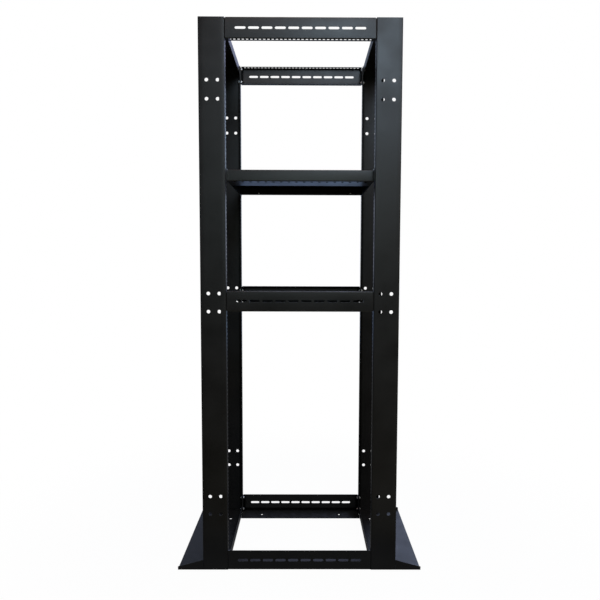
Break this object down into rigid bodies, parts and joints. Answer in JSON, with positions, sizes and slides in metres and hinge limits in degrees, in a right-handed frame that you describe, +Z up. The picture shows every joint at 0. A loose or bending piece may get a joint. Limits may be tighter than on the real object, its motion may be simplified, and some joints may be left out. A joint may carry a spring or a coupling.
{
  "type": "four-post open frame rack",
  "caption": "Tall black steel open frame rack: four perforated channel posts tied by slotted side bars, on two outrigger base feet, with a fixed shelf.",
  "frame": {"origin": "on the floor, midway between the four posts", "axes": "+Z up; X is the rack's depth, with equipment entering along it and the front posts at -X; Y is the width across the hole lines, with the right side at -Y"},
  "size_m": [0.967, 0.5144, 2.1336],
  "materials": {
    "frame_paint": "satin black powder coat with a fine texture",
    "shelf_paint": "satin black powder coat with a fine texture",
    "bolt_zinc": "zinc plated bolts, which the scene adds at the bar ends"
  },
  "bodies": {
    "root": {"post_front_right": "frame_paint", "post_front_left": "frame_paint", "post_rear_right": "frame_paint", "post_rear_left": "frame_paint", "top_side_bar_right": "frame_paint", "top_side_bar_left": "frame_paint", "middle_side_bar_right": "frame_paint", "middle_side_bar_left": "frame_paint", "bottom_side_bar_right": "frame_paint", "bottom_side_bar_left": "frame_paint", "top_crossmember_front": "frame_paint", "top_crossmember_rear": "frame_paint", "base_foot_front": "frame_paint", "base_foot_rear": "frame_paint", "base_gusset_front_right": "frame_paint", "base_gusset_front_left": "frame_paint", "base_gusset_rear_right": "frame_paint", "base_gusset_rear_left": "frame_paint", "shelf_tray": "shelf_paint", "shelf_bracket_front": "shelf_paint", "shelf_bracket_rear": "shelf_paint"}
  },
  "joints": []
}
